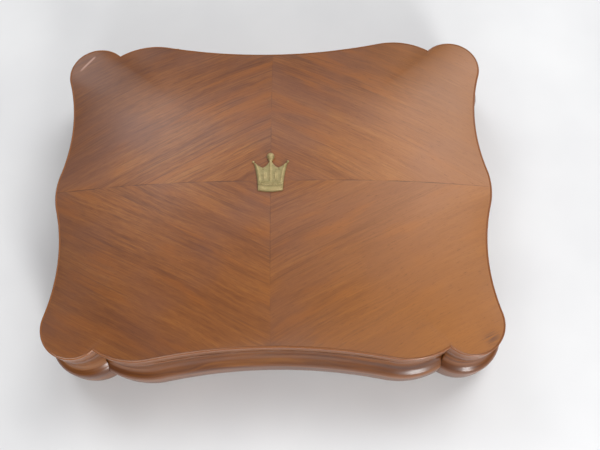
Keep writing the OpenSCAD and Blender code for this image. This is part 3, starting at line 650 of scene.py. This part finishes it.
def ribbon_veneer():
    """Mirrored mahogany veneer: stripes that lean by GRAIN in each quarter and meet in diamonds
    at the two seams, groups of dark lines and short pores along them, soft greyish patches of
    painted reflection, painted light that makes the wood lighter towards the front right, painted
    shade at the front middle, dirt in the seams, a smudge at the front and one on a lobe, and a
    pale scuff."""
    f = Finish("ribbon_veneer", Coat_Weight=0.25, Coat_Roughness=0.28, IOR=1.48)
    x, y, _ = f.place()
    ax, ay = abs(x), abs(y)
    side = f.step(x, -0.05, 0.05) * 0.22 + f.step(y, -0.05, 0.05) * 0.4
    sway = f.noise(f.spot(x * 0.012, y * 0.012), detail=1.0) * 6
    across = ax * math.sin(GRAIN) + ay * math.cos(GRAIN) + sway
    along = ax * math.cos(GRAIN) - ay * math.sin(GRAIN)
    band = f.noise(f.spot(across * 0.05, along * 0.005, side), detail=2.0)
    ribbon = f.noise(f.spot(across * 0.22, along * 0.017, side * 3), detail=2.0)
    streak = f.noise(f.spot(across * 0.7, along * 0.034, side * 5), detail=3.0)
    thread = f.noise(f.spot(across * 2.2, along * 0.14, side * 7), detail=2.0)
    tone = band * 0.30 + ribbon * 0.18 + streak * 0.27 + thread * 0.25
    wood = f.ramp(tone, [
        (0.34, (0.110, 0.030, 0.008)), (0.44, (0.180, 0.055, 0.012)),
        (0.53, (0.250, 0.083, 0.018)), (0.66, (0.340, 0.130, 0.030))])
    # Painted reflection: soft greyish patches stand in for the pale haze mirrored in the polish.
    cloud = f.noise(f.spot(x * 0.016, y * 0.02, side), detail=2.0)
    wood = f.mix(f.step(cloud, 0.40, 0.66) * 0.5, wood, (0.170, 0.068, 0.042))
    ember = f.noise(f.spot(across * 0.09, along * 0.02, side * 9), detail=2.0)
    wood = f.mix(f.step(ember, 0.52, 0.7) * 0.34, wood, (0.340, 0.100, 0.010))
    line = f.noise(f.spot(across * 1.2, along * 0.02, side * 11), detail=2.0)
    patch = f.noise(f.spot(across * 0.06, along * 0.012, side * 13), detail=1.0)
    line = f.step(line, 0.50, 0.70) * f.step(patch, 0.38, 0.58)
    wood = f.mix(line * 0.5, wood, (0.085, 0.030, 0.014))
    edge = f.step(ax * (1 / 150) + ay * (0.5 / 117), 0.75, 1.15)
    wood = f.mix(edge * 0.35, wood, (0.10, 0.034, 0.012))
    # Painted light: the wood is drawn lighter towards the front right, where the window light
    # falls on the dome.
    painted_light_front_right = f.step(x - y * 0.35, -20, 150)
    wood = f.mix(painted_light_front_right * 0.42, wood, (0.50, 0.200, 0.050))
    # Painted shade: the front middle of the top is drawn darker, where the sloping dome gets less
    # light.
    painted_front_shade = f.step(y * -1, 10, 110) * (1 - f.step(ax, 40, 130))
    wood = f.mix(painted_front_shade * 0.3, wood, (0.11, 0.038, 0.010))
    pore = f.step(f.noise(f.spot(across * 3.4, along * 0.22, side), detail=1.0), 0.62, 0.74)
    wood = f.mix(pore * 0.35, wood, (0.06, 0.02, 0.008))
    worn = f.noise(f.spot(x * 0.05, y * 0.05, 4.0), detail=2.0)
    nearest = f.add("ShaderNodeMath", {"operation": "MINIMUM"}, {0: ax, 1: ay})
    seam = 1 - f.step(nearest, 0.12, 0.42)
    seam = seam * f.step(worn, 0.36, 0.62) * f.step(ax * 1.4 + ay * -1 - x * 0.7, -170, 40)
    wood = f.mix(seam * 0.7, wood, (0.045, 0.018, 0.010))
    smudge = (1 - apart(f, x, y, LOBE_SMUDGE, 0, 8)) * f.step(streak, 0.36, 0.56)
    wood = f.mix(smudge * 0.7, wood, (0.11, 0.05, 0.035))
    smudge = 1 - apart(f, x, y * 0.7, FRONT_SMUDGE, 1, 9)
    wood = f.mix(smudge * 0.4, wood, (0.08, 0.035, 0.025))
    scuff = abs((x - SCUFF[0]) * SCUFF_ACROSS[0] + (y - SCUFF[1]) * SCUFF_ACROSS[1])
    scuff = (1 - f.step(scuff, 0.2, 1.2)) * (1 - apart(f, x, y, SCUFF, 6, 9))
    wood = f.mix(scuff * f.step(worn, 0.3, 0.5) * 0.55, wood, (0.60, 0.36, 0.28))
    height = tone + pore * -0.4 + seam * -0.9
    rough = 0.34 + (1 - tone) * 0.14 + worn * 0.08
    return f.feed(Base_Color=wood, Roughness=rough, Normal=f.bump(height, 0.35, 0.0002))


def moulded_wood(name, fade):
    """Mahogany of the mouldings and edges, its grain along the run of the piece, mixed by the
    share given with the colour of the veneer."""
    f = Finish(name, Coat_Weight=0.5, Coat_Roughness=0.2, IOR=1.4)
    run = f.add("ShaderNodeAttribute", {"attribute_name": "run"}, output=1)
    u, v = [f.add("ShaderNodeSeparateXYZ", {}, {0: run}, axis) for axis in (0, 1)]
    x, y, z = f.place()
    sway = f.noise(f.spot(u * 0.02, v * 0.03), detail=1.0) * 9
    ribbon = f.noise(f.spot((v + sway) * 0.2, u * 0.012, 2.0), detail=2.0)
    streak = f.noise(f.spot((v + sway) * 1.1, u * 0.035, 5.0), detail=3.0)
    tone = ribbon * 0.7 + streak * 0.3
    wood = f.ramp(tone, [
        (0.34, (0.080, 0.022, 0.005)), (0.46, (0.130, 0.038, 0.007)),
        (0.56, (0.190, 0.060, 0.010)), (0.68, (0.260, 0.095, 0.018))])
    cloud = f.noise(f.spot(x * 0.02, y * 0.02, z * 0.03), detail=2.0)
    wood = f.mix(f.step(cloud, 0.45, 0.7) * 0.35, wood, (0.10, 0.045, 0.025))
    wood = f.mix(fade, wood, (0.27, 0.088, 0.018))
    pore = f.step(f.noise(f.spot(v * 4, u * 0.3, 1.0), detail=1.0), 0.62, 0.74)
    wood = f.mix(pore * 0.3, wood, (0.04, 0.016, 0.008))
    rough = 0.3 + (1 - tone) * 0.1 + cloud * 0.1
    return f.feed(Base_Color=wood, Roughness=rough,
                  Normal=f.bump(tone - pore * 0.4, 0.3, 0.00015))


def plain_wood(name, dark, light, turn):
    """Sawn and planed softwood: rings across the board, bent by noise, and fine fibres."""
    f = Finish(name, IOR=1.45)
    x, y, z = f.place()
    long, wide = (y, x) if turn else (x, y)
    sway = f.noise(f.spot(long * 0.006, wide * 0.02, z * 0.02), detail=1.0) * 30
    ring = f.noise(f.spot((wide + z + sway) * 0.16, long * 0.003, 1.0), detail=3.0)
    fibre = f.noise(f.spot(wide * 1.6, long * 0.04, z * 1.6), detail=3.0)
    tone = ring * 0.6 + fibre * 0.4
    wood = f.ramp(tone, [(0.36, dark), (0.64, light)])
    return f.feed(Base_Color=wood, Roughness=0.62 + fibre * 0.15,
                  Normal=f.bump(fibre, 0.3, 0.0003))


def felt_cloth():
    """Green baize: matted fibres, a shallow nap and patches rubbed lighter."""
    f = Finish("green_baize", Sheen_Weight=0.5, Sheen_Roughness=0.5, IOR=1.4)
    x, y, z = f.place()
    here = f.spot(x, y, z)
    fibre = f.noise(here, scale=2.2, detail=4.0, rough=0.7, warp=0.8)
    nap = f.noise(here, scale=0.06, detail=3.0)
    cloth = f.ramp(fibre * 0.6 + nap * 0.4, [
        (0.32, (0.010, 0.026, 0.012)), (0.5, (0.026, 0.062, 0.028)), (0.7, (0.06, 0.11, 0.05))])
    return f.feed(Base_Color=cloth, Roughness=0.86 + nap * 0.1,
                  Normal=f.bump(fibre, 0.6, 0.0004))


def aged_brass(name, from_relief):
    """Brass gone dull and greenish: bright where it is rubbed, brown and green where it is not."""
    f = Finish(name, IOR=1.5)
    x, y, z = f.place()
    here = f.spot(x, y, z)
    bloom = f.noise(here, scale=0.35, detail=4.0, rough=0.6)
    speck = f.noise(here, scale=1.8, detail=3.0)
    tone = bloom * 0.6 + speck * 0.4
    metal = f.ramp(tone, [
        (0.34, (0.28, 0.215, 0.095)), (0.48, (0.40, 0.31, 0.14)),
        (0.60, (0.47, 0.37, 0.18)), (0.7, (0.56, 0.44, 0.26))])
    green = f.step(f.noise(here, scale=0.22, detail=3.0), 0.52, 0.68)
    metal = f.mix(green * 0.3, metal, (0.28, 0.27, 0.10))
    if from_relief:
        high = f.add("ShaderNodeAttribute", {"attribute_name": "relief"}, output=2)
        metal = f.mix((1 - f.step(high, 0.0, 0.5)) * 0.35, metal, (0.17, 0.16, 0.07))
    return f.feed(Base_Color=metal, Roughness=0.42 + tone * 0.25, Metallic=0.25 + tone * 0.35,
                  Normal=f.bump(speck, 0.25, 0.0002))


def drawn_steel():
    """Plain steel, brushed along its length, with a few brown spots."""
    f = Finish("drawn_steel", Metallic=1.0)
    x, y, z = f.place()
    brush = f.noise(f.spot(x * 0.3, y * 4, z * 4), detail=3.0)
    spots = f.step(f.noise(f.spot(x, y, z), scale=0.4, detail=4.0), 0.58, 0.7)
    steel = f.ramp(brush, [(0.3, (0.30, 0.30, 0.31)), (0.7, (0.55, 0.55, 0.56))])
    steel = f.mix(spots * 0.7, steel, (0.14, 0.09, 0.06))
    return f.feed(Base_Color=steel, Roughness=0.3 + brush * 0.2 + spots * 0.2)


veneer = ribbon_veneer()
moulded = moulded_wood("moulded_wood", 0.0)
lipped = moulded_wood("lipping_wood", 0.6)
baize = felt_cloth()
cast_brass = aged_brass("aged_brass_casting", True)
fittings = aged_brass("aged_brass_fittings", False)
steel = drawn_steel()
long_boards = plain_wood("pine_boards_long", (0.30, 0.15, 0.06), (0.58, 0.36, 0.17), False)
cross_boards = plain_wood("pine_boards_cross", (0.28, 0.14, 0.055), (0.54, 0.33, 0.15), True)
STAIN = (0.09, 0.033, 0.013), (0.24, 0.095, 0.035)
outer_boards = plain_wood("stained_boards_long", *STAIN, False)
outer_cross = plain_wood("stained_boards_cross", *STAIN, True)

SLOT_FINISH = {"polished_veneer": veneer, "polished_wood": outer_boards, "felt": baize,
               "brass": fittings, "steel": steel, "inner_wood": long_boards}
NODE_FINISH = {"drawer_guides": cross_boards, "drawer_left_side": cross_boards,
               "drawer_right_side": cross_boards, "front_wall": outer_boards,
               "back_wall": outer_boards, "left_wall": outer_cross, "right_wall": outer_cross}


def wear(piece, material):
    """Gives a piece one finish all over."""
    piece.data.materials.clear()
    piece.data.materials.append(material)


for part in frame["record"]["subparts"]:
    finish = NODE_FINISH.get(part["node"], SLOT_FINISH[part["material_slot"]])
    wear(frame["nodes"][part["node"]], finish)
for piece in veneers:
    wear(piece, veneer)
for piece in outer_wood:
    wear(piece, lipped if "lipping" in piece.name else moulded)
for piece in pads:
    wear(piece, baize)
wear(crown, cast_brass)


# ---- Table, light and camera
def table_top():
    """A wide pale table top, level at zero, with a faint cloudy tone."""
    x, y = np.meshgrid(np.linspace(-2.5, 2.5, 41), np.linspace(-2.5, 2.5, 41))
    mesh = bpy.data.meshes.new("table")
    points = np.stack([x, y, np.zeros_like(x)], 2).reshape(-1, 3)
    mesh.from_pydata(points.tolist(), [], grid_quads(41, 41).tolist())
    table = bpy.data.objects.new("table", mesh)
    bpy.context.scene.collection.objects.link(table)
    f = Finish("pale_table", IOR=1.4)
    x, y, _ = f.place()
    cloud = f.noise(f.spot(x * 0.01, y * 0.01), detail=3.0)
    pale = f.ramp(cloud, [(0.3, (0.70, 0.70, 0.71)), (0.7, (0.76, 0.76, 0.765))])
    mesh.materials.append(f.feed(Base_Color=pale, Roughness=0.7 + cloud * 0.1))


def lamp(name, place, size, power, colour, mirrored=True):
    """A soft light at place, wide and tall by size, turned to the box. It shows in polished
    wood if mirrored."""
    light = bpy.data.lights.new(name, "AREA")
    light.shape, light.energy, light.color = "RECTANGLE", power, colour
    light.size, light.size_y = size
    obj = bpy.data.objects.new(name, light)
    bpy.context.scene.collection.objects.link(obj)
    obj.location = place
    obj.visible_glossy = mirrored
    obj.rotation_euler = (-Vector(place)).to_track_quat("-Z", "Y").to_euler()


table_top()
lamp("main_window", (1.05, 1.1, 1.35), (1.0, 1.0), 13, (0.98, 0.99, 1.0))
lamp("high_window", (0.5, 0.75, 1.7), (0.9, 0.9), 11, (0.98, 0.99, 1.0), False)
lamp("front_window", (-0.2, -1.4, 0.62), (0.4, 0.4), 6, (0.97, 0.98, 1.0), False)
lamp("back_window", (-0.75, 1.05, 1.5), (0.7, 0.7), 8.5, (0.95, 0.97, 1.0))
lamp("side_window", (0.5, -1.25, 0.66), (0.3, 0.7), 14, (1.0, 1.0, 1.0))


def soft_room():
    """The room: a glow that grows from the front to the back, and a pale grey wall to look at."""
    world = bpy.data.worlds.new("soft_room")
    world.use_nodes = True
    tree = world.node_tree
    glow = tree.nodes["Background"]
    glow.inputs["Color"].default_value = (1.0, 0.985, 0.96, 1)
    wall = tree.nodes.new("ShaderNodeBackground")
    wall.inputs["Color"].default_value = (0.72, 0.72, 0.73, 1)
    around = tree.nodes.new("ShaderNodeTexCoord")
    split = tree.nodes.new("ShaderNodeSeparateXYZ")
    fade = tree.nodes.new("ShaderNodeMapRange")
    for socket, value in (("From Min", -0.95), ("From Max", 0.35), ("To Min", 0.09),
                          ("To Max", 0.36)):
        fade.inputs[socket].default_value = value
    ray = tree.nodes.new("ShaderNodeLightPath")
    both = tree.nodes.new("ShaderNodeMixShader")
    for start, end in ((around.outputs["Generated"], split.inputs[0]),
                       (split.outputs["Y"], fade.inputs[0]),
                       (fade.outputs[0], glow.inputs["Strength"]),
                       (ray.outputs["Is Camera Ray"], both.inputs[0]),
                       (glow.outputs[0], both.inputs[1]), (wall.outputs[0], both.inputs[2]),
                       (both.outputs[0], tree.nodes["World Output"].inputs[0])):
        tree.links.new(start, end)
    bpy.context.scene.world = world


soft_room()

camera = bpy.data.objects.new("camera", bpy.data.cameras.new("camera"))
bpy.context.scene.collection.objects.link(camera)
CAMERA_PLACE, CAMERA_TURN = (29.52, -182.56, 506.22), (19.523, 1.469, -0.303)
LENS, SENSOR = 41.81, 36
camera.data.lens, camera.data.sensor_width = LENS, SENSOR
camera.location = Vector(CAMERA_PLACE) * MM
camera.rotation_euler = [math.radians(a) for a in CAMERA_TURN]
bpy.context.scene.camera = camera
bpy.context.scene.view_settings.view_transform = "Standard"
